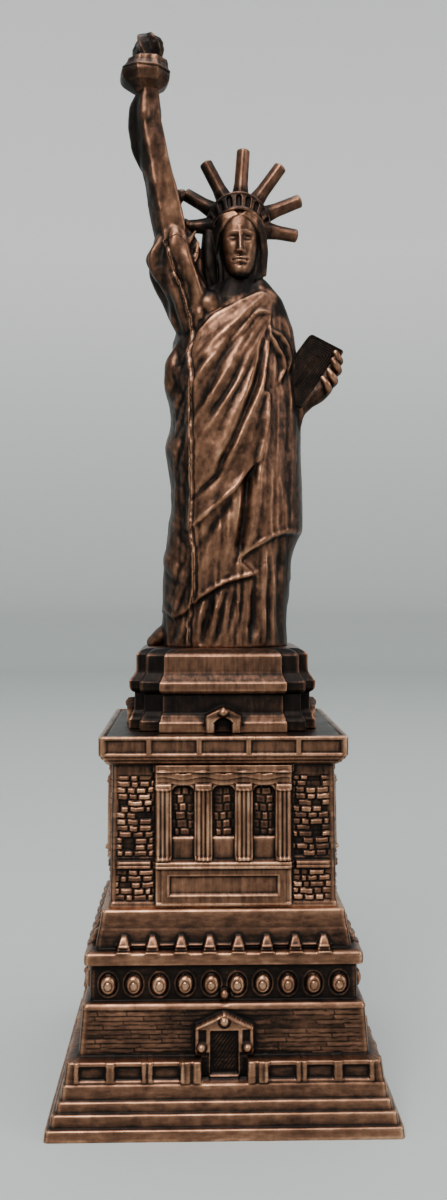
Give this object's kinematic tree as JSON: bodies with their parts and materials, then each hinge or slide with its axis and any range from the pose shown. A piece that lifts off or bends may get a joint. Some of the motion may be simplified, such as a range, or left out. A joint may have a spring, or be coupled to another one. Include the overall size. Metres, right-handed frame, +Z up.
{
  "type": "miniature landmark model",
  "caption": "Miniature landmark statue: a robed figure with a raised torch, a rayed crown and a tablet, on a columned tower and a stepped square base.",
  "frame": {"origin": "middle of the square footprint, on the surface that the model stands on", "axes": "+Z up through the tower and the figure, -Y out of the front, where the figure faces, +X to the right as seen from the front"},
  "size_m": [0.089, 0.089, 0.2872],
  "materials": {
    "copper_base": "antiqued copper plating, rubbed bright on the high spots",
    "copper_tower": "antiqued copper plating, rubbed bright on the high spots",
    "copper_plinth": "antiqued copper plating, rubbed bright on the high spots",
    "copper_figure": "antiqued copper plating, rubbed bright on the high spots",
    "copper_torch": "antiqued copper plating, mostly dark",
    "solder": "dull soft solder",
    "steel": "zinc-plated steel",
    "felt": "dark green felt"
  },
  "bodies": {
    "root": {"base_front_plate": "copper_base", "base_right_plate": "copper_base", "base_rear_plate": "copper_base", "base_left_plate": "copper_base", "base_corner_solder": "solder", "tower_front_plate": "copper_tower", "tower_right_plate": "copper_tower", "tower_rear_plate": "copper_tower", "tower_left_plate": "copper_tower", "tower_corner_solder": "solder", "deck_plate": "copper_tower", "plinth": "copper_plinth", "figure_front_shell": "copper_figure", "figure_rear_shell": "copper_figure", "head": "copper_figure", "crown": "copper_figure", "tablet": "copper_figure", "tablet_hand": "copper_figure", "torch": "copper_torch", "torch_flame": "copper_torch", "figure_bolt": "steel", "bolt_washer": "steel", "figure_nut": "steel", "closing_plate": "steel", "plate_screws": "steel", "felt_pad": "felt"}
  },
  "joints": []
}
